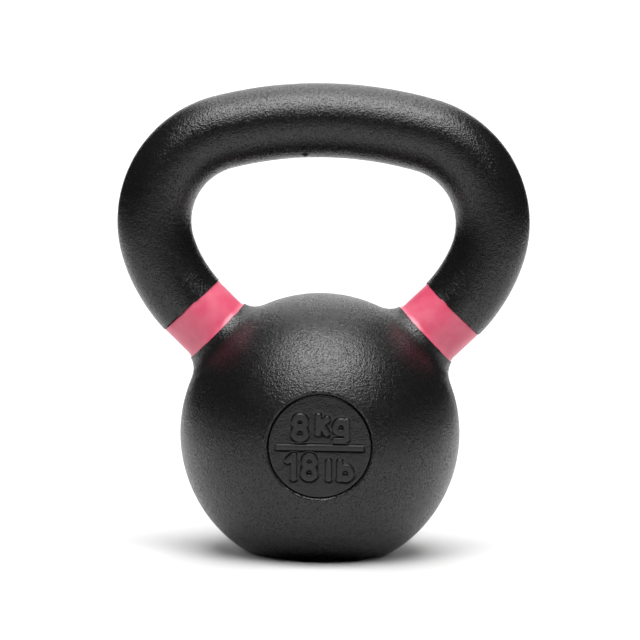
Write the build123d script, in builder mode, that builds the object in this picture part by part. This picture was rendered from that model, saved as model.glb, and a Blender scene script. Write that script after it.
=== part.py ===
from build123d import *

import os
from math import cos, radians, sin, sqrt

# An 8 kg cast-iron kettlebell: ball, handle loop, two colour bands and the weight mark.
# Millimetres, +Z up, origin at the centre of the flat base. The handle loop lies in the XZ
# plane and the weight mark faces -Y.

# Ball
ball_radius = 59.6
ball_height = 51.0  # from the base plane up to the ball's centre
base_edge_radius = 1.2

# Handle loop: a round bar along tangent arcs, from each horn up to the middle of the grip
bar_radius = 15.8
horn_angle = 44.0  # each horn points at the ball's centre, this far above the horizontal
side_bend_radius, side_bend_angle = 65.0, 26.5
shoulder_bend_radius, shoulder_bend_angle = 39.0, 94.5
grip_bend_radius = 166.0

# Where the horns meet the ball; distances run along a horn's axis from the ball's centre
root_fillet_radius = 10.0
joint_distance = 69.2  # ball and handle meet here, hidden under the band
band_start, band_end = 61.6, 77.0

# Colour band: a thin ring in a shallow groove, flared where it runs out onto the root fillet
band_radius = 15.35
band_thickness = 0.4
flare_length = 2.2
flare_radius = 3.6

# Weight mark: a disc sunk in the front of the ball, with raised characters of one pen width
mark_radius = 21.5
mark_depth = 1.1  # from the rim of the pocket down to the disc's face
disc_thickness = 1.5
relief = 1.1  # how far the characters stand up from the disc's face
stroke = 2.3
numeral_size, letter_size = 11.4, 9.0
numeral_ring = 2.4  # radius of an eight's lower ring, to the middle of the stroke
letter_ring = 2.35  # the same for the round of a letter
divider_length, divider_width, divider_height = 36.0, 2.0, -0.4
upper_line, lower_line = 2.0, -14.2  # where the numerals stand, from the disc's centre
letter_lift = 2.6  # the upper letters stand higher, to clear their tail

# Driven sizes
groove_radius = band_radius - band_thickness
face_distance = sqrt(ball_radius**2 - mark_radius**2) - mark_depth
root_circle_distance = sqrt(ball_radius**2 - bar_radius**2)
bends = (
    (side_bend_radius, side_bend_angle),
    (shoulder_bend_radius, shoulder_bend_angle),
    (grip_bend_radius, 180 - horn_angle - side_bend_angle - shoulder_bend_angle),
)

ball_centre = Vector(0, 0, ball_height)
right_axis = Vector(cos(radians(horn_angle)), 0, sin(radians(horn_angle)))
left_axis = Vector(-right_axis.X, 0, right_axis.Z)

# A section plane holds a horn's axis as its X; a horn plane crosses it at the ball's centre
right_section = Plane(origin=ball_centre, x_dir=right_axis, z_dir=(0, -1, 0))
left_section = Plane(origin=ball_centre, x_dir=left_axis, z_dir=(0, 1, 0))
right_horn = Plane(origin=ball_centre, x_dir=(0, 1, 0), z_dir=right_axis)
left_horn = Plane(origin=ball_centre, x_dir=(0, 1, 0), z_dir=left_axis)
mark_plane = Plane(origin=(0, -face_distance, ball_height), x_dir=(1, 0, 0), z_dir=(0, -1, 0))


def horn_length():
    """The straight run from the ball's centre to the first bend, so that the loop closes."""
    heading = horn_angle
    reach = 0.0
    for bend_radius, bend_angle in bends:
        turned = heading + bend_angle
        reach += bend_radius * (sin(radians(turned)) - sin(radians(heading)))
        heading = turned
    return -reach / cos(radians(horn_angle))


def flare_ends(depth):
    """Where the band's flare starts and where it meets the straight run, sunk by depth."""
    arc_height = band_radius + flare_radius
    start_height = arc_height - sqrt((flare_radius + depth) ** 2 - flare_length**2)
    return (band_start, start_height), (band_start + flare_length, band_radius - depth)


def is_root_circle(edge):
    """Whether an edge is the circle in which a horn's bar meets the ball."""
    distance = (edge.arc_center - ball_centre).length
    return (
        abs(distance - root_circle_distance) < 0.1
        and abs(edge.radius - bar_radius) < 0.1
    )


# Ball: a sphere with a stub for each horn, blended by a large fillet and cut flat underneath
with BuildPart() as ball:
    with Locations(ball_centre):
        Sphere(ball_radius)
    for horn in (right_horn, left_horn):
        with BuildSketch(horn):
            Circle(bar_radius)
        extrude(amount=joint_distance)
    circles = ball.edges().filter_by(GeomType.CIRCLE)
    fillet(circles.filter_by(is_root_circle), root_fillet_radius)
    split(bisect_by=Plane.XY, keep=Keep.TOP)
    fillet(ball.edges().group_by(Axis.Z)[0], base_edge_radius)
    # the groove in which a band lies, open towards the handle
    flare_start, straight_start = flare_ends(band_thickness)
    groove_end = joint_distance + 1
    groove_top = bar_radius + root_fillet_radius
    for section in (right_section, left_section):
        with BuildSketch(section):
            with BuildLine():
                RadiusArc(flare_start, straight_start, flare_radius + band_thickness)
                Polyline(
                    straight_start,
                    (groove_end, groove_radius),
                    (groove_end, groove_top),
                    (band_start, groove_top),
                    flare_start,
                )
            make_face()
        revolve(axis=Axis(ball_centre, section.x_dir), mode=Mode.SUBTRACT)
    # the pocket for the weight mark
    with BuildSketch(mark_plane.offset(-disc_thickness)):
        Circle(mark_radius)
    extrude(amount=ball_radius, mode=Mode.SUBTRACT)

# Handle loop: one half swept from the joint up to the middle of the grip, then mirrored
with BuildPart() as handle:
    with BuildLine() as half_loop:
        straight = Line(
            ball_centre + right_axis * joint_distance,
            ball_centre + right_axis * horn_length(),
        )
        with BuildLine(Plane.XZ):
            side = JernArc(straight @ 1, straight % 1, *bends[0])
            shoulder = JernArc(side @ 1, side % 1, *bends[1])
            JernArc(shoulder @ 1, shoulder % 1, *bends[2])
    with BuildSketch(right_horn.offset(joint_distance)):
        Circle(bar_radius)
    sweep(path=half_loop.wire())
    with BuildSketch(right_horn.offset(joint_distance)):
        Circle(bar_radius + 1)
        Circle(groove_radius, mode=Mode.SUBTRACT)
    extrude(amount=band_end - joint_distance, mode=Mode.SUBTRACT)
    mirror(about=Plane.YZ)


# Colour bands: the strip between the band's surface and its groove, turned about a horn's axis
with BuildPart() as right_band:
    outer_start, outer_straight = flare_ends(0)
    inner_start, inner_straight = flare_ends(band_thickness)
    with BuildSketch(right_section):
        with BuildLine():
            RadiusArc(outer_start, outer_straight, flare_radius)
            RadiusArc(inner_start, inner_straight, flare_radius + band_thickness)
            Line(outer_start, inner_start)
            Polyline(
                outer_straight,
                (band_end, band_radius),
                (band_end, groove_radius),
                inner_straight,
            )
        make_face()
    revolve(axis=Axis(ball_centre, right_axis))

with BuildPart() as left_band:
    mirror(right_band.part, about=Plane.YZ)


def pen_line(*points):
    """A stroke along straight runs, with round ends and corners."""
    for start, end in zip(points, points[1:]):
        run = Vector(end) - Vector(start)
        angle = Vector(1, 0).get_signed_angle(run, Vector(0, 0, 1))
        with Locations((Vector(start) + Vector(end)) / 2):
            SlotCenterToCenter(run.length, stroke, rotation=angle)


def pen_rings(*rings):
    """Strokes round full circles, each given by its centre and its radius."""
    for x, y, radius in rings:
        with Locations((x, y)):
            Circle(radius + stroke / 2)
    for x, y, radius in rings:
        with Locations((x, y)):
            Circle(radius - stroke / 2, mode=Mode.SUBTRACT)


def upright(x, line, size):
    """A vertical stroke standing on a line."""
    pen_line((x, line + stroke / 2), (x, line + size - stroke / 2))


def numeral_eight(x, line):
    """Two rings, the upper one a little smaller."""
    upper_ring = (numeral_size - stroke) / 2 - numeral_ring
    low = line + stroke / 2 + numeral_ring
    high = line + numeral_size - stroke / 2 - upper_ring
    pen_rings((x, low, numeral_ring), (x, high, upper_ring))


def numeral_one(x, line):
    """An upright with a short flag."""
    flag_width, flag_drop = 2.4, 1.9
    top = line + numeral_size - stroke / 2
    upright(x, line, numeral_size)
    pen_line((x, top), (x - flag_width, top - flag_drop))


def letter_k(x, line):
    """An upright with an arm and a leg that meet beside it."""
    arm_width, arm_height, meeting_height = 3.6, 5.6, 2.9
    foot = line + stroke / 2
    upright(x, line, letter_size)
    pen_line((x + arm_width, foot + arm_height), (x, foot + meeting_height))
    pen_line((x + arm_width, foot), (x + arm_width / 3, foot + meeting_height + 0.6))


def letter_g(x, line):
    """A ring, and an upright on its right that hooks back below it."""
    tail_drop, hook = 2.2, 0.95
    middle = line + stroke / 2 + letter_ring
    pen_rings((x, middle, letter_ring))
    pen_line(
        (x + letter_ring, middle + letter_ring),
        (x + letter_ring, line + stroke / 2 - tail_drop),
        (x + letter_ring - hook, line + stroke / 2 - tail_drop - hook),
        (x - letter_ring, line + stroke / 2 - tail_drop - hook),
    )


def letter_b(x, line):
    """An upright with a ring at its foot."""
    pen_rings((x + letter_ring, line + stroke / 2 + letter_ring, letter_ring))
    upright(x, line, letter_size)


# Weight mark: the disc in its pocket, with "8 kg" above the divider and "18 lb" below it
with BuildPart() as weight_mark:
    with BuildSketch(mark_plane.offset(-disc_thickness)):
        Circle(mark_radius)
    extrude(amount=disc_thickness)
    with BuildSketch(mark_plane):
        numeral_eight(-8.3, upper_line)
        letter_k(-0.8, upper_line + letter_lift)
        letter_g(8.6, upper_line + letter_lift)
        with Locations((0, divider_height)):
            Rectangle(divider_length, divider_width)
        numeral_one(-10.6, lower_line)
        numeral_eight(-4.2, lower_line)
        upright(3.8, lower_line, letter_size)
        letter_b(8.4, lower_line)
    extrude(amount=relief)

ball.part.label = "ball"
handle.part.label = "handle"
right_band.part.label = "right_band"
left_band.part.label = "left_band"
weight_mark.part.label = "weight_mark"

os.makedirs("parts", exist_ok=True)
export_step(ball.part, "parts/ball.step")
export_step(handle.part, "parts/handle.step")
export_step(right_band.part, "parts/right_band.step")
export_step(left_band.part, "parts/left_band.step")
export_step(weight_mark.part, "parts/weight_mark.step")
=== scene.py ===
from math import asin, atan2, cos, pi, radians, sin, sqrt

import bmesh
import bpy
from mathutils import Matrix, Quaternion, Vector


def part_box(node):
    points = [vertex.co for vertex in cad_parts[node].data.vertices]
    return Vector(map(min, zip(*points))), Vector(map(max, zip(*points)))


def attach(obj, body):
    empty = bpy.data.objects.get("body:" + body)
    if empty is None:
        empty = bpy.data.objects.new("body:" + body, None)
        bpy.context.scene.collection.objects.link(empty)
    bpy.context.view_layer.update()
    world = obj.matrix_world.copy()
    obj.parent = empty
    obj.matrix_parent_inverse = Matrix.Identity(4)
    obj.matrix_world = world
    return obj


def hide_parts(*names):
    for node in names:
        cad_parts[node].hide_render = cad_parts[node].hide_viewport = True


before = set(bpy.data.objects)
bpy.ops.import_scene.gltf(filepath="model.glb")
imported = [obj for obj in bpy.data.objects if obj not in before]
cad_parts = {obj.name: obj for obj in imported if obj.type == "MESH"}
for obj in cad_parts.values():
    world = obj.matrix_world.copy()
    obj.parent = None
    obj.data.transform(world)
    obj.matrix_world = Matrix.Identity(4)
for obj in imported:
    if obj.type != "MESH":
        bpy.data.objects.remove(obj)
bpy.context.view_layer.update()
print("frame loaded:", sorted(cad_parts))

mm = 0.001

# What the frame says about the casting: the ball's back is uncut, and the mark is centred on it
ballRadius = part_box("ball")[1].y
ballHeight = (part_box("weight_mark")[0].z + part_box("weight_mark")[1].z) / 2
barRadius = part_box("handle")[1].y
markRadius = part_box("weight_mark")[1].x
markBack = -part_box("weight_mark")[1].y
characterRise = 1.1 * mm
characterFoot = -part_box("weight_mark")[0].y - characterRise
ballCentre = Vector((0, 0, ballHeight))

# How the loop bends, from a horn to the middle of the grip, and where the bands lie on the horns
loop = {
    "hornAngle": radians(44),
    "bends": ((65.0 * mm, radians(26.5)), (39.0 * mm, radians(94.5)), (166.0 * mm, radians(15))),
    "bandStart": 61.6 * mm,
    "joint": 69.2 * mm,  # ball and handle meet here, under the band
    "bandEnd": 77.0 * mm,
    "bandRadius": 15.35 * mm,
    "grooveRadius": 14.95 * mm,
    "rootFillet": 10.0 * mm,
}
hornCos, hornSin = cos(loop["hornAngle"]), sin(loop["hornAngle"])


ringWeld = 0.004 * mm  # points closer than this are one point of a turned shape


# A value in a node tree, which can be used in arithmetic: each operator adds a Math node
class Value:
    def __init__(self, tree, socket):
        self.tree = tree
        self.socket = socket

    # Another output of the same node
    def of(self, name):
        return Value(self.tree, self.socket.node.outputs[name])

    def math(self, operation, *inputs):
        return Maker(self.tree).node("ShaderNodeMath", {"operation": operation}, dict(enumerate(inputs)))

    def absolute(self):
        return self.math("ABSOLUTE", self)

    def root(self):
        return self.math("SQRT", self)

    def __add__(self, other):
        return self.math("ADD", self, other)

    def __radd__(self, other):
        return self.math("ADD", other, self)

    def __sub__(self, other):
        return self.math("SUBTRACT", self, other)

    def __rsub__(self, other):
        return self.math("SUBTRACT", other, self)

    def __mul__(self, other):
        return self.math("MULTIPLY", self, other)

    def __rmul__(self, other):
        return self.math("MULTIPLY", other, self)

    def __neg__(self):
        return self.math("MULTIPLY", self, -1.0)


# Adds nodes to one tree
class Maker:
    def __init__(self, tree):
        self.tree = tree

    # A list of values goes into one input that takes several
    def node(self, kind, settings=None, inputs=None):
        node = self.tree.nodes.new(kind)
        for name, value in (settings or {}).items():
            setattr(node, name, value)
        self.feed(node, inputs or {})
        return Value(self.tree, node.outputs[0])

    def feed(self, node, inputs):
        for key, value in inputs.items():
            for item in value if isinstance(value, list) else [value]:
                if isinstance(item, Value):
                    self.tree.links.new(item.socket, node.inputs[key])
                else:
                    node.inputs[key].default_value = item

    def vector(self, x, y, z):
        return self.node("ShaderNodeCombineXYZ", {}, {0: x, 1: y, 2: z})

    def parts(self, vector):
        split = self.node("ShaderNodeSeparateXYZ", {}, {0: vector})
        return split.of("X"), split.of("Y"), split.of("Z")

    def noise(self, vector, scale, detail, seed):
        inputs = {"Vector": vector, "W": seed, "Scale": scale, "Detail": detail}
        return self.node("ShaderNodeTexNoise", {"noise_dimensions": "4D"}, inputs)

    def smoothStep(self, value, low, high):
        settings = {"interpolation_type": "SMOOTHSTEP"}
        return self.node("ShaderNodeMapRange", settings, {"Value": value, "From Min": low, "From Max": high})

    # One where the value is near a middle, fading to nothing at reach
    def nearBand(self, value, middle, full, reach):
        return 1 - self.smoothStep((value - middle).absolute(), full, reach)

    def mixed(self, factor, low, high):
        mix = self.node("ShaderNodeMix", {"data_type": "RGBA"}, {0: factor, 6: low, 7: high})
        # the node lists one Result for each data type, the colour's is the third
        return Value(self.tree, mix.socket.node.outputs[2])


# A Geometry Nodes tree with a named input for each size
class ShapeTree(Maker):
    def __init__(self, name, sizes):
        super().__init__(bpy.data.node_groups.new(name, "GeometryNodeTree"))
        self.name = name
        self.sizes = sizes
        interface = self.tree.interface
        interface.new_socket("Geometry", in_out="OUTPUT", socket_type="NodeSocketGeometry")
        interface.new_socket("Geometry", in_out="INPUT", socket_type="NodeSocketGeometry")
        self.sockets = {}
        for size in sizes:
            self.sockets[size] = interface.new_socket(size, in_out="INPUT", socket_type="NodeSocketFloat")
        self.start = self.tree.nodes.new("NodeGroupInput")

    def size(self, name):
        return Value(self.tree, self.start.outputs[name])

    def position(self):
        return self.node("GeometryNodeInputPosition")

    def placed(self, shape, position):
        return self.node("GeometryNodeSetPosition", {}, {"Geometry": shape, "Position": position})

    def moved(self, shape, offset):
        return self.node("GeometryNodeSetPosition", {}, {"Geometry": shape, "Offset": offset})

    # Moves the surface outwards
    def raised(self, shape, depth):
        normal = self.node("GeometryNodeInputNormal")
        return self.moved(shape, self.node("ShaderNodeVectorMath", {"operation": "SCALE"},
                                           {0: normal, "Scale": depth}))

    def transformed(self, shape, inputs):
        return self.node("GeometryNodeTransform", {}, {"Geometry": shape, **inputs})

    def welded(self, shape, distance, where=True):
        inputs = {"Geometry": shape, "Selection": where, "Distance": distance}
        return self.node("GeometryNodeMergeByDistance", {}, inputs)

    # A shape turned about Z: each stretch of its outline gives radius and height along itself
    def turned(self, stretches, segments):
        strips = []
        for steps, outline in stretches:
            sheet = {"Size X": 1.0, "Size Y": 1.0, "Vertices X": steps + 1, "Vertices Y": segments + 1}
            grid = self.node("GeometryNodeMeshGrid", {}, sheet)
            x, y, z = self.parts(self.position())
            radius, height = outline(x + 0.5)
            turn = (y + 0.5) * (2 * pi)
            place = self.vector(radius * turn.math("COSINE", turn), radius * turn.math("SINE", turn), height)
            strips.append(self.placed(grid, place))
        return self.welded(self.node("GeometryNodeJoinGeometry", {}, {0: strips}), ringWeld)

    # Ends the tree and returns the plain mesh object that it makes
    def finish(self, shape, material, base=None):
        smooth = self.node("GeometryNodeSetShadeSmooth", {}, {0: shape})
        real = self.node("GeometryNodeRealizeInstances", {}, {0: smooth})
        painted = self.node("GeometryNodeSetMaterial", {}, {"Geometry": real, "Material": material})
        end = self.tree.nodes.new("NodeGroupOutput")
        self.tree.links.new(painted.socket, end.inputs[0])
        growerName = self.name + ".grower"
        grower = base or bpy.data.objects.new(growerName, bpy.data.meshes.new(growerName))
        bpy.context.scene.collection.objects.link(grower)
        modifier = grower.modifiers.new("shape", "NODES")
        modifier.node_group = self.tree
        for size, value in self.sizes.items():
            modifier[self.sockets[size].identifier] = float(value)
        bpy.context.view_layer.update()
        depsgraph = bpy.context.evaluated_depsgraph_get()
        mesh = bpy.data.meshes.new_from_object(grower.evaluated_get(depsgraph))
        bpy.data.objects.remove(grower)
        piece = bpy.data.objects.new(self.name, mesh)
        bpy.context.scene.collection.objects.link(piece)
        print(f"{self.name}: {len(mesh.polygons)} faces")
        return piece


# Straight and round stretches of an outline, as functions of how far along them a point is
def straight(startRadius, startHeight, endRadius, endHeight):
    def outline(along):
        return (
            startRadius + along * (endRadius - startRadius),
            startHeight + along * (endHeight - startHeight),
        )
    return outline


def arc(centreRadius, centreHeight, radius, startAngle, endAngle):
    def outline(along):
        angle = startAngle + along * (endAngle - startAngle)
        return (
            centreRadius + angle.math("COSINE", angle) * radius,
            centreHeight + angle.math("SINE", angle) * radius,
        )
    return outline


# Black powder coat: a fine grain over soft orange peel, with pits between the grains
coat = {
    "colour": (0.0045, 0.0045, 0.0046),
    "shadeRange": (0.8, 1.3),
    "refraction": 1.5,
    "grainSize": 0.45 * mm,
    "grainDepth": 0.17 * mm,
    "pebbleSize": 1.1 * mm,
    "pebbleSmoothness": 0.6,
    "pebbleShare": 0.6,
    "pebbleMiddle": 0.4,
    "peelSize": 2.6 * mm,
    "peelDepth": 0.10 * mm,
    "wornScale": 40.0,
    "wornRoughness": 0.08,
    "wornPatches": 0.3,
    "patchRange": (0.35, 0.7),
    "pebblePits": 0.2,
    "pitRange": (0.36, 0.50),
    "pitRoughness": 0.2,
    "pitShade": 0.5,
    # the raised faces' paler colour is a painted sheen
    "paintedSheenColour": (0.012, 0.012, 0.012),
    "raisedFaceRoughness": 0.2,
    "raisedFaceRise": 0.8 * mm,
    "raisedFaceFade": 0.5 * mm,
}


def principled(material):
    material.use_nodes = True
    return Maker(material.node_tree), material.node_tree.nodes["Principled BSDF"]


# A shade of one colour, as a colour socket takes it
def shaded(colour, factor=1.0):
    return (*[channel * factor for channel in colour], 1.0)


# What stands well forward of the foot is duller and gets a painted sheen, where a foot is given
def blackCoat(name, roughness, grain=1.0, peel=1.0, dark=0.0, foot=None):
    material = bpy.data.materials.new(name)
    make, shader = principled(material)
    place = make.node("ShaderNodeTexCoord").of("Object")
    fine = make.noise(place, 1 / coat["grainSize"], detail=0.5, seed=1.0)
    pebble = make.node("ShaderNodeTexVoronoi", {"feature": "SMOOTH_F1"}, {
        "Vector": place, "Scale": 1 / coat["pebbleSize"], "Smoothness": coat["pebbleSmoothness"]})
    soft = make.noise(place, 1 / coat["peelSize"], detail=1.0, seed=2.0)
    worn = make.noise(place, coat["wornScale"], detail=3.0, seed=3.0)
    grains = (fine + pebble * coat["pebbleShare"]) * (coat["grainDepth"] * grain)
    height = grains + soft * (coat["peelDepth"] * peel)
    bump = make.node("ShaderNodeBump", {}, {"Height": height, "Strength": 1.0, "Distance": 1.0})
    # the pits reflect little, so that they look dark within a highlight
    lows = fine + (pebble - coat["pebbleMiddle"]) * coat["pebblePits"]
    pits = 1.0 - make.smoothStep(lows, *coat["pitRange"])
    rough = roughness + pits * (coat["pitRoughness"] * grain) + (worn - 0.5) * coat["wornRoughness"]
    darker, paler = coat["shadeRange"]
    patches = make.smoothStep(fine + (worn - 0.5) * coat["wornPatches"], *coat["patchRange"])
    colour = make.mixed(patches, shaded(coat["colour"], darker), shaded(coat["colour"], paler))
    if foot is not None:
        # raised faces are duller, and a little paler as a painted sheen
        x, y, z = make.parts(place)
        start = foot + coat["raisedFaceRise"]
        raisedFaces = make.smoothStep(-y, start, start + coat["raisedFaceFade"])
        rough = rough + raisedFaces * coat["raisedFaceRoughness"]
        colour = make.mixed(raisedFaces, colour, shaded(coat["paintedSheenColour"]))
    make.feed(shader, {
        "Base Color": colour,
        "Roughness": rough,
        "Metallic": pits * (coat["pitShade"] * grain) + dark,
        "Normal": bump,
        "IOR": coat["refraction"],
    })
    return material


# Colour band: a thin brushed enamel, a little uneven
enamel = {
    "colour": (0.60, 0.064, 0.129),
    "paleColour": (0.65, 0.112, 0.182),
    "roughness": 0.36,
    "blotRoughness": 0.15,
    "refraction": 1.62,
    "blotScale": 120.0,
    "blotRange": (0.35, 0.7),
    "peelSize": 2.2 * mm,
    "peelDepth": 0.05 * mm,
    "grainDepth": 0.02 * mm,
}


def bandEnamel():
    material = bpy.data.materials.new("bandEnamel")
    make, shader = principled(material)
    place = make.node("ShaderNodeTexCoord").of("Object")
    blot = make.noise(place, enamel["blotScale"], detail=3.0, seed=4.0)
    soft = make.noise(place, 1 / enamel["peelSize"], detail=2.0, seed=5.0)
    fine = make.noise(place, 1 / coat["grainSize"], detail=2.0, seed=1.0)
    height = soft * enamel["peelDepth"] + fine * enamel["grainDepth"]
    blots = make.smoothStep(blot, *enamel["blotRange"])
    make.feed(shader, {
        "Base Color": make.mixed(blots, shaded(enamel["colour"]), shaded(enamel["paleColour"])),
        "Roughness": enamel["roughness"] + (blot - 0.5) * enamel["blotRoughness"],
        "Normal": make.node("ShaderNodeBump", {}, {"Height": height, "Strength": 1.0, "Distance": 1.0}),
        "IOR": enamel["refraction"],
    })
    return material


ballCoat = blackCoat("ballCoat", roughness=0.27, grain=1.1)
handleCoat = blackCoat("handleCoat", roughness=0.22)
markCoat = blackCoat("markCoat", roughness=0.17, grain=0.24, peel=0.6, dark=0.12, foot=characterFoot)
bandPaint = bandEnamel()
print("materials made")

# The cast surface: slow waves and small dimples, as a sand mould leaves them
cast = {
    "waveSize": 16 * mm,
    "waveDepth": 0.16 * mm,
    "dimpleSize": 5 * mm,
    "dimpleDepth": 0.035 * mm,
}
# single lumps and a pit that the mould left, in millimetres: where, how wide, how high
blemishes = (
    ((-53.2, -12.0, 83.2), 2.0, 0.45),
    ((-23.0, -54.9, 53.8), 1.1, 0.35),
    ((-5.5, -46.4, 88.0), 1.0, -0.25),
    ((-8.3, -6.0, 169.5), 1.8, 0.8),
    ((31.0, -44.0, 77.0), 1.2, 0.2),
)
castSizes = {"Wave Depth": cast["waveDepth"], "Dimple Depth": cast["dimpleDepth"]}


def castSurface(tree, shape):
    place = tree.position()
    waves = tree.noise(place, 1 / cast["waveSize"], detail=1.0, seed=21.0) - 0.5
    dimples = tree.noise(place, 1 / cast["dimpleSize"], detail=2.0, seed=26.0) - 0.5
    depth = waves * tree.size("Wave Depth") + dimples * tree.size("Dimple Depth")
    for centre, width, rise in blemishes:
        away = tree.node("ShaderNodeVectorMath", {"operation": "DISTANCE"},
                         {0: place, 1: tuple(c * mm for c in centre)}).of("Value")
        depth = depth + (1 - tree.smoothStep(away, 0.0, width * mm)) * (rise * mm)
    return tree.raised(shape, depth)


# The coat's edge beside a band: slow waves and a few steps, as masking tape leaves it
taped = {
    "full": 0.7 * mm,
    "reach": 1.8 * mm,
    "waveScale": 90.0,
    "waveShare": 1.6,
    "stepScale": 160.0,
    "stepRange": (0.53, 0.56),
    "sideShift": 0.1,  # sets the two horns apart in the noise
}


# Slides the coat's edge along both horns where it was masked, at this distance from the ball's centre
def raggedEdge(tree, shape, distance, seed):
    x, y, z = tree.parts(tree.position())
    side = x.math("SIGN", x)
    outward, upward = x.absolute(), z - ballHeight
    along = outward * hornCos + upward * hornSin
    across = upward * hornCos - outward * hornSin
    near = tree.nearBand(along, distance, taped["full"], taped["reach"])
    around = tree.vector(y, across, side * taped["sideShift"])
    waves = tree.noise(around, taped["waveScale"], detail=2.0, seed=seed) - 0.5
    bits = tree.noise(around, taped["stepScale"], detail=0.0, seed=seed + 3)
    steps = tree.smoothStep(bits, *taped["stepRange"])
    slide = (waves * taped["waveShare"] + steps) * near * tree.size("Ragged Edge")
    return tree.moved(shape, tree.vector(slide * side * hornCos, 0.0, slide * hornSin))


# Ball: a sphere turned about the mark's axis, with a pocket, joined to the two horn roots
ballLook = {
    "segments": 384,
    "sphereRings": 164,
    "rimRings": 26,
    "rimWidth": 8 * mm,
    "rimRound": 1.0 * mm,
    "rootSegments": 200,
    "filletRings": 30,
    "lipRound": 0.28 * mm,
    "rootDepth": 0.8,  # how far down a root starts inside the sphere, in radii
    "baseRound": 0.9 * mm,
    "ragged": 0.13 * mm,
}
# Where a root runs out onto the sphere its seam is welded and smoothed
seam = {"full": 1.0 * mm, "reach": 2.6 * mm, "weld": 0.3 * mm, "blur": 6}
# Small lumps of coat along the lower rim of the pocket
fleck = {
    "size": 1.3 * mm,
    "height": 0.24 * mm,
    "amount": (0.48, 0.62),
    "beyondRim": 0.8 * mm,
    "full": 0.2 * mm,
    "reach": 0.9 * mm,
    "lowRange": (17 * mm, 21 * mm),
    "frontRange": (0.0, 10 * mm),
}


def rimFlecks(tree, shape):
    place = tree.position()
    x, y, z = tree.parts(place)
    low = ballHeight - z
    fromAxis = (x * x + low * low).root()
    near = tree.nearBand(fromAxis, markRadius + fleck["beyondRim"], fleck["full"], fleck["reach"])
    lumps = tree.smoothStep(tree.noise(place, 1 / fleck["size"], detail=1.0, seed=41.0), *fleck["amount"])
    where = near * tree.smoothStep(low, *fleck["lowRange"]) * tree.smoothStep(-y, *fleck["frontRange"])
    return tree.raised(shape, where * lumps * tree.size("Fleck Height"))


def softSeam(tree, shape, distance):
    x, y, z = tree.parts(tree.position())
    along = x.absolute() * hornCos + (z - ballHeight) * hornSin
    near = tree.nearBand(along, distance, seam["full"], seam["reach"])
    close = tree.node("FunctionNodeCompare", {"operation": "GREATER_THAN"}, {0: near, 1: 0.5})
    shape = tree.welded(shape, seam["weld"], close)
    blurred = tree.node("GeometryNodeBlurAttribute", {"data_type": "FLOAT_VECTOR"},
                        {0: tree.position(), "Iterations": seam["blur"], "Weight": near})
    return tree.placed(shape, blurred)


def buildBall(material):
    rim, fillet, lip = ballLook["rimRound"], loop["rootFillet"], ballLook["lipRound"]
    tree = ShapeTree("castBall", {
        "Ball Radius": ballRadius,
        "Ball Height": ballHeight,
        "Mark Radius": markRadius,
        "Pocket Distance": markBack,
        "Rim Round": rim,
        "Root Fillet": fillet,
        "Groove Radius": loop["grooveRadius"],
        "Base Round": ballLook["baseRound"],
        "Ragged Edge": ballLook["ragged"],
        "Fleck Height": fleck["height"],
        **castSizes,
    })
    radius = tree.size("Ball Radius")
    pocket = tree.size("Pocket Distance")
    mark = tree.size("Mark Radius")
    # the rim's small round touches the pocket's wall and the sphere
    rimHeight = sqrt((ballRadius - rim) ** 2 - (markRadius + rim) ** 2)
    rimEnd = atan2(rimHeight, markRadius + rim)
    nearRim = rimEnd - ballLook["rimWidth"] / ballRadius
    sphere = tree.turned([
        (4, straight(0.0, pocket, mark, pocket)),
        (8, straight(mark, pocket, mark, rimHeight)),
        (8, arc(mark + rim, rimHeight, tree.size("Rim Round"), pi, rimEnd)),
        (ballLook["rimRings"], arc(0.0, 0.0, radius, rimEnd, nearRim)),
        (ballLook["sphereRings"], arc(0.0, 0.0, radius, nearRim, -pi / 2)),
    ], ballLook["segments"])
    shells = [tree.transformed(sphere, {"Rotation": (pi / 2, 0, 0)})]
    # a root's fillet touches the bar's side and the sphere, and the coat ends in a small round lip
    filletRadius = barRadius + fillet
    filletHeight = sqrt((ballRadius + fillet) ** 2 - filletRadius ** 2)
    touch = atan2(-filletHeight, -filletRadius)
    touchRadius = filletRadius + fillet * cos(touch)
    touchHeight = filletHeight + fillet * sin(touch)
    lipAngle = asin((loop["bandStart"] - lip - filletHeight) / (fillet + lip))
    lipRadius = filletRadius - (fillet + lip) * cos(lipAngle)
    lipHeight = filletHeight + (fillet + lip) * sin(lipAngle)
    groove = tree.size("Groove Radius")
    joint = loop["joint"]
    deep = ballLook["rootDepth"] * ballRadius
    root = tree.turned([
        (2, straight(0.0, joint, groove, joint)),
        (2, straight(groove, joint, groove, lipHeight + lip)),
        (3, straight(groove, lipHeight + lip, lipRadius, lipHeight + lip)),
        (6, arc(lipRadius, lipHeight, lip, pi / 2, -lipAngle)),
        (ballLook["filletRings"],
         arc(filletRadius, filletHeight, tree.size("Root Fillet"), -pi - lipAngle, touch)),
        (2, straight(touchRadius, touchHeight, barRadius, deep)),
        (2, straight(barRadius, deep, 0.0, deep)),
    ], ballLook["rootSegments"])
    lean = pi / 2 - loop["hornAngle"]
    shells += [tree.transformed(root, {"Rotation": (0, turn, 0)}) for turn in (lean, -lean)]
    whole = tree.node("GeometryNodeMeshBoolean", {"operation": "UNION", "solver": "MANIFOLD"},
                      {"Mesh 2": shells})
    whole = tree.transformed(whole, {"Translation": tree.vector(0.0, 0.0, tree.size("Ball Height"))})
    whole = softSeam(tree, whole, touchHeight)
    whole = raggedEdge(tree, whole, loop["bandStart"], seed=11.0)
    whole = castSurface(tree, rimFlecks(tree, whole))
    # the flat base, with a soft edge
    x, y, z = tree.parts(tree.position())
    base = tree.size("Base Round")
    flat = (z + (z * z + base * base).root()) * 0.5
    return tree.finish(tree.placed(whole, tree.vector(x, y, flat)), material)


ball = buildBall(ballCoat)


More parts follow.
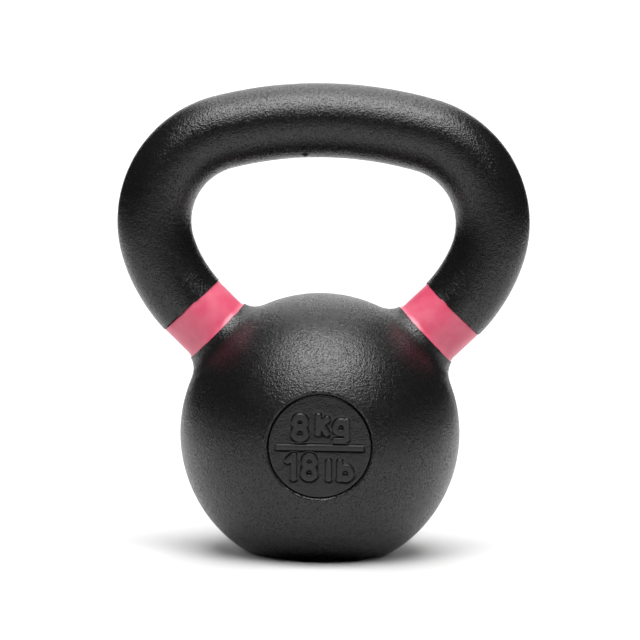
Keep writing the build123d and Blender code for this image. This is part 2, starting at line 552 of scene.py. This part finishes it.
# Handle loop: a round bar along the horn's run and its bends, mirrored
handleLook = {
    "barSegments": 132,
    "spacing": 0.85 * mm,
    "hiddenSpacing": 1.0 * mm,
    "edgeSpacing": 0.06 * mm,
    "edgeBefore": 1.0 * mm,
    "edgeSpan": 2.5 * mm,
    "lipWidth": 0.5 * mm,
    "ragged": 0.42 * mm,
}


# Where rings of the bar stand along half the loop, densest at the coat's edge
def ringDistances(total):
    distances = [loop["joint"]]
    edgeStart = loop["bandEnd"] - handleLook["edgeBefore"]
    while distances[-1] < edgeStart:
        distances.append(distances[-1] + handleLook["hiddenSpacing"])
    distances[-1] = edgeStart
    steps = int(handleLook["edgeSpan"] / handleLook["edgeSpacing"])
    distances += [edgeStart + (i + 1) * handleLook["edgeSpacing"] for i in range(steps)]
    edgeEnd = distances[-1]
    rest = int((total - edgeEnd) / handleLook["spacing"])
    return distances + [edgeEnd + (total - edgeEnd) * (i + 1) / rest for i in range(rest)]


# The loop's centre line from one joint to the other; the horns' run is as long as closes the loop
def loopPoints():
    heading = loop["hornAngle"]
    reach = 0.0
    for radius, angle in loop["bends"]:
        reach += radius * (sin(heading + angle) - sin(heading))
        heading += angle
    run = -reach / hornCos
    outward = Vector((hornCos, 0, hornSin))
    points = []
    for distance in ringDistances(run + sum(radius * angle for radius, angle in loop["bends"])):
        place = ballCentre + outward * min(distance, run)
        left = distance - run
        heading = loop["hornAngle"]
        for radius, angle in loop["bends"]:
            turned = min(max(left, 0.0) / radius, angle)
            place = place + Vector((
                radius * (sin(heading + turned) - sin(heading)), 0,
                radius * (cos(heading) - cos(heading + turned))))
            left -= radius * angle
            heading += angle
        points.append(place)
    points[-1].x = 0.0
    mirrored = [Vector((-p.x, p.y, p.z)) for p in reversed(points[:-1])]
    return points + mirrored


def buildHandle(material):
    curve = bpy.data.curves.new("loopLine", "CURVE")
    curve.dimensions = "3D"
    spline = curve.splines.new("POLY")
    points = loopPoints()
    spline.points.add(len(points) - 1)
    for point, place in zip(spline.points, points):
        point.co = (*place, 1.0)
    line = bpy.data.objects.new("loopLine", curve)
    tree = ShapeTree("handleLoop", {
        "Bar Radius": barRadius,
        "Groove Radius": loop["grooveRadius"],
        "Coat Edge": loop["bandEnd"] - loop["joint"],
        "Lip Width": handleLook["lipWidth"],
        "Ragged Edge": handleLook["ragged"],
        **castSizes,
    })
    start = Value(tree.tree, tree.start.outputs["Geometry"])
    length = tree.node("GeometryNodeSplineParameter").of("Length")
    total = tree.node("GeometryNodeCurveLength", {}, {0: start})
    fromEnd = length.math("MINIMUM", length, total - length)
    edge = tree.size("Coat Edge")
    lip = tree.node("ShaderNodeMapRange", {"interpolation_type": "SMOOTHERSTEP"},
                    {"Value": fromEnd, "From Min": edge, "From Max": edge + tree.size("Lip Width")})
    groove = tree.size("Groove Radius")
    thickness = groove + (tree.size("Bar Radius") - groove) * lip
    circle = tree.node("GeometryNodeCurvePrimitiveCircle", {},
                       {"Resolution": handleLook["barSegments"], "Radius": 1.0})
    bar = tree.node("GeometryNodeCurveToMesh", {},
                    {"Curve": start, "Profile Curve": circle, "Scale": thickness, "Fill Caps": True})
    bar = raggedEdge(tree, bar, loop["bandEnd"], seed=31.0)
    return tree.finish(castSurface(tree, bar), material, base=line)


handle = buildHandle(handleCoat)


# Colour bands: a ring in its groove, flared at its lower edge, and tucked under the coat's edges
bandLook = {
    "segments": 220,
    "flareLength": 2.2 * mm,
    "flareRise": 0.5 * mm,
    "tuck": 0.4 * mm,
    "sunk": 0.2 * mm,
}


def buildBand(name, turn, material):
    tree = ShapeTree(name, {
        "Band Radius": loop["bandRadius"],
        "Inner Radius": loop["grooveRadius"] - bandLook["sunk"],
        "Band Start": loop["bandStart"],
        "Band End": loop["bandEnd"],
        **castSizes,
    })
    outer, inner = tree.size("Band Radius"), tree.size("Inner Radius")
    rise, run, tuck = bandLook["flareRise"], bandLook["flareLength"], bandLook["tuck"]
    flareRadius = (run * run + rise * rise) / (2 * rise)
    low = tree.size("Band Start") - tuck
    high = tree.size("Band End") + tuck * 2
    bend = loop["bandStart"] + run
    flareAngle = asin((run + tuck) / flareRadius)
    flareCentre = loop["bandRadius"] + flareRadius
    flareTop = flareCentre - flareRadius * cos(flareAngle)
    ring = tree.turned([
        (1, straight(inner, high, outer, high)),
        (16, straight(outer, high, outer, bend)),
        (12, arc(flareCentre, bend, flareRadius, -pi, -pi + flareAngle)),
        (1, straight(flareTop, low, inner, low)),
        (4, straight(inner, low, inner, high)),
    ], bandLook["segments"])
    lift = tree.vector(0.0, 0.0, ballHeight)
    ring = tree.transformed(ring, {"Rotation": (0, turn, 0), "Translation": lift})
    return tree.finish(castSurface(tree, ring), material)


rightBand = buildBand("rightBand", pi / 2 - loop["hornAngle"], bandPaint)
leftBand = buildBand("leftBand", loop["hornAngle"] - pi / 2, bandPaint)


# Weight mark: the frame's disc and characters, softened as a thick coat leaves them
markLook = {
    "weld": 0.001 * mm,
    "grid": 0.2 * mm,
    "softFactor": 0.5,
    "softening": 4,
    "spread": 40,  # the wider softening, which shows where the surface bends in and out
    "moat": 2.3,
    "roundOff": 0.8,
    "moatReach": 19.6 * mm,
    "gap": 0.35 * mm,
    "lift": 0.45 * mm,
    "margin": 0.5 * mm,
}


def fromMarkAxis(point):
    return sqrt(point.x ** 2 + (point.z - ballHeight) ** 2)


# A narrow gap all round the disc, and characters raised by what the softening takes away
def prepareMark(data):
    mesh = bmesh.new()
    mesh.from_mesh(data)
    bmesh.ops.remove_doubles(mesh, verts=mesh.verts, dist=markLook["weld"])
    for vert in mesh.verts:
        if -vert.co.y > characterFoot + markLook["margin"]:
            vert.co.y -= markLook["lift"]
        reach = fromMarkAxis(vert.co)
        if reach > markRadius - markLook["gap"]:
            shrink = (markRadius - markLook["gap"]) / reach
            vert.co.x *= shrink
            vert.co.z = ballHeight + (vert.co.z - ballHeight) * shrink
    mesh.to_mesh(data)
    mesh.free()


# The mark on an even grid, softened this many times
def softened(mark, soften, iterations):
    soften.iterations = iterations
    bpy.context.view_layer.update()
    evaluated = mark.evaluated_get(bpy.context.evaluated_depsgraph_get())
    return bpy.data.meshes.new_from_object(evaluated)


def buildMark(material):
    mark = bpy.data.objects.new("weightDisc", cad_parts["weight_mark"].data.copy())
    bpy.context.scene.collection.objects.link(mark)
    prepareMark(mark.data)
    remesh = mark.modifiers.new("even", "REMESH")
    remesh.mode = "VOXEL"
    remesh.voxel_size = markLook["grid"]
    soften = mark.modifiers.new("soften", "SMOOTH")
    soften.factor = markLook["softFactor"]
    mesh = softened(mark, soften, markLook["softening"])
    spread = softened(mark, soften, markLook["spread"])
    # hollows at the foot of the characters deepen into a moat, and their upper edges round off
    for vert, wide in zip(mesh.vertices, spread.vertices):
        inside = fromMarkAxis(vert.co) < markLook["moatReach"]
        if inside and -vert.co.y > characterFoot - markLook["margin"]:
            stand = wide.co.y - vert.co.y
            vert.co.y += stand * markLook["roundOff"] if stand > 0 else -stand * markLook["moat"]
    bpy.data.meshes.remove(spread)
    mark.modifiers.clear()
    mark.data = mesh
    mesh.shade_smooth()
    mesh.materials.clear()
    mesh.materials.append(material)
    print("weightDisc:", len(mesh.polygons), "faces")
    return mark


mark = buildMark(markCoat)

for piece, node, slot in (
    (ball, "ball", "black_coat"),
    (handle, "handle", "black_coat"),
    (rightBand, "right_band", "band_enamel"),
    (leftBand, "left_band", "band_enamel"),
    (mark, "weight_mark", "black_coat"),
):
    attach(piece, "root")
    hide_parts(node)
print("pieces placed")

# Studio: a white sweep under a large soft light, in a dark room
studio = {
    "floorShade": 0.57,
    "floorRoughness": 0.9,
    "roomLight": 0.02,
    "roomPale": 1.0,  # what shows beyond the sweep
}
# floor and back wall are one sheet, bent where they meet
sweepShape = {"front": -1.2, "back": 2.2, "height": 2.2, "bend": 0.5, "bendSteps": 12, "halfWidth": 0.8}
# where each light hangs, what it faces, how large and how strong it is
lights = {
    "keySoftbox": ((0.04, -0.47, 1.27), (0, 0, 0.1), (1.2, 1.1), 35.0),
    "sweepLight": ((0.0, 0.9, 1.5), (0, 2.25, 0.6), (1.8, 0.5), 60.0),
    "topPanel": ((0.0, 0.66, 1.42), (0, 0, 0.1), (1.2, 0.9), 10.5),
    "leftFill": ((-1.35, 0.4, 0.8), (0, 0, 0.05), (0.8, 0.8), 11.0),
    "rightFill": ((1.35, 0.4, 0.8), (0, 0, 0.05), (0.8, 0.8), 11.0),
}
# the fills light the floor and the paint beside the object, and stay out of its reflections
notReflected = ("leftFill", "rightFill")


def buildSweep(scene):
    plain = bpy.data.materials.new("sweepWhite")
    make, shader = principled(plain)
    make.feed(shader, {
        "Base Color": (*[studio["floorShade"]] * 3, 1.0),
        "Roughness": studio["floorRoughness"],
    })
    bend, steps, half = sweepShape["bend"], sweepShape["bendSteps"], sweepShape["halfWidth"]
    bendStart = sweepShape["back"] - bend
    rows = [(sweepShape["front"], 0.0), (bendStart, 0.0)]
    for i in range(1, steps + 1):
        angle = pi / 2 * i / steps
        rows.append((bendStart + bend * sin(angle), bend - bend * cos(angle)))
    rows.append((sweepShape["back"], sweepShape["height"]))
    sheet = bmesh.new()
    pairs = [[sheet.verts.new((x, y, z)) for x in (-half, half)] for y, z in rows]
    for (a, b), (c, d) in zip(pairs, pairs[1:]):
        sheet.faces.new((a, b, d, c))
    mesh = bpy.data.meshes.new("sweep")
    sheet.to_mesh(mesh)
    sheet.free()
    mesh.shade_smooth()
    mesh.materials.append(plain)
    sweep = bpy.data.objects.new("sweep", mesh)
    scene.collection.objects.link(sweep)


def softLight(scene, name, place, target, size, power):
    light = bpy.data.lights.new(name, "AREA")
    light.shape = "RECTANGLE"
    light.size, light.size_y = size
    light.energy = power
    lamp = bpy.data.objects.new(name, light)
    lamp.location = place
    lamp.rotation_euler = (Vector(target) - Vector(place)).to_track_quat("-Z", "Y").to_euler()
    lamp.visible_glossy = name not in notReflected
    scene.collection.objects.link(lamp)


def buildStudio():
    scene = bpy.context.scene
    buildSweep(scene)
    for name, (place, target, size, power) in lights.items():
        softLight(scene, name, place, target, size, power)
    world = bpy.data.worlds.new("room")
    scene.world = world
    world.use_nodes = True
    # the room is dark, but where the sweep ends it is as pale as the sweep
    room = Maker(world.node_tree)
    direct = room.node("ShaderNodeLightPath").of("Is Camera Ray")
    strength = direct * (studio["roomPale"] - studio["roomLight"]) + studio["roomLight"]
    room.feed(world.node_tree.nodes["Background"], {"Color": (1.0, 1.0, 1.0, 1.0), "Strength": strength})
    scene.view_settings.view_transform = "Standard"


buildStudio()

# Camera: a long lens, a little above the ball
view = {
    "place": (-0.0008, -1.540, 0.2168),
    "target": (-0.0008, 0.0, 0.0991),
    "roll": radians(1.0),
    "lens": 204.0,
    "sensor": 36.0,
}
camera = bpy.data.objects.new("camera", bpy.data.cameras.new("camera"))
camera.data.lens = view["lens"]
camera.data.sensor_width = view["sensor"]
camera.location = view["place"]
aim = (Vector(view["target"]) - Vector(view["place"])).to_track_quat("-Z", "Y")
camera.rotation_euler = (aim @ Quaternion((0, 0, 1), view["roll"])).to_euler()
bpy.context.scene.collection.objects.link(camera)
bpy.context.scene.camera = camera

print("studio and camera set")
